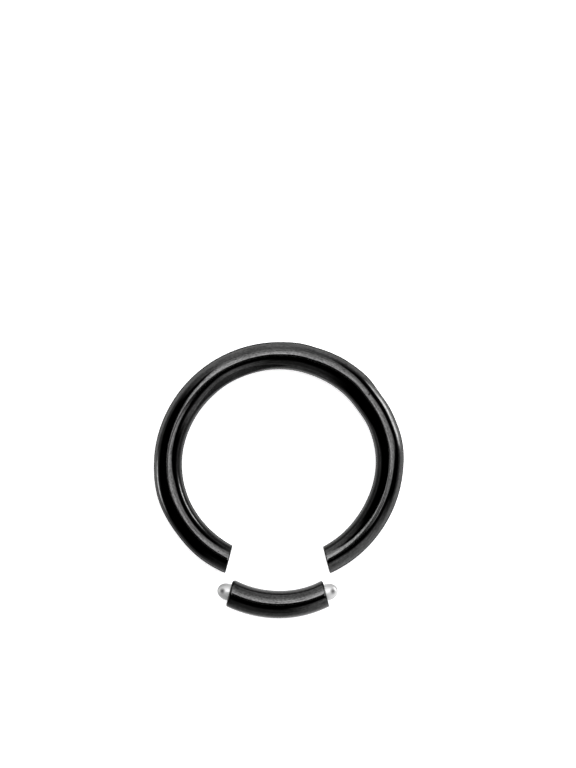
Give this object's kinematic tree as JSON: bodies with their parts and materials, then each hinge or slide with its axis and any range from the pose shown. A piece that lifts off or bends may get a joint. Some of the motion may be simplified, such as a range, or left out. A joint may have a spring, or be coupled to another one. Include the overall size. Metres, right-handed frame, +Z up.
{
  "type": "segment ring",
  "caption": "Slightly oval black ring of round wire, lying flat, with a short segment drawn out of its gap that snaps back on round-nosed bright pins.",
  "frame": {"origin": "the middle of the ring's hole, on the surface that the ring lies on", "axes": "+Z up, along the axis of the hole; -Y from the middle of the hole towards the gap and the drawn-out segment; +X to the right when the ring is seen from above with the gap nearest"},
  "size_m": [0.0186, 0.0207, 0.0021],
  "materials": {
    "black_steel": "polished",
    "bright_steel": "polished"
  },
  "bodies": {
    "hoop": {"hoop": "black_steel"},
    "segment": {"segment": "black_steel", "left_pin": "bright_steel", "right_pin": "bright_steel"}
  },
  "joints": [
    {"name": "segment_snap", "type": "slide", "parent": "hoop", "child": "segment", "axis": [0, 1, 0], "range_m": [0, 0.00244], "deforming": ["left_pin", "right_pin"]}
  ]
}
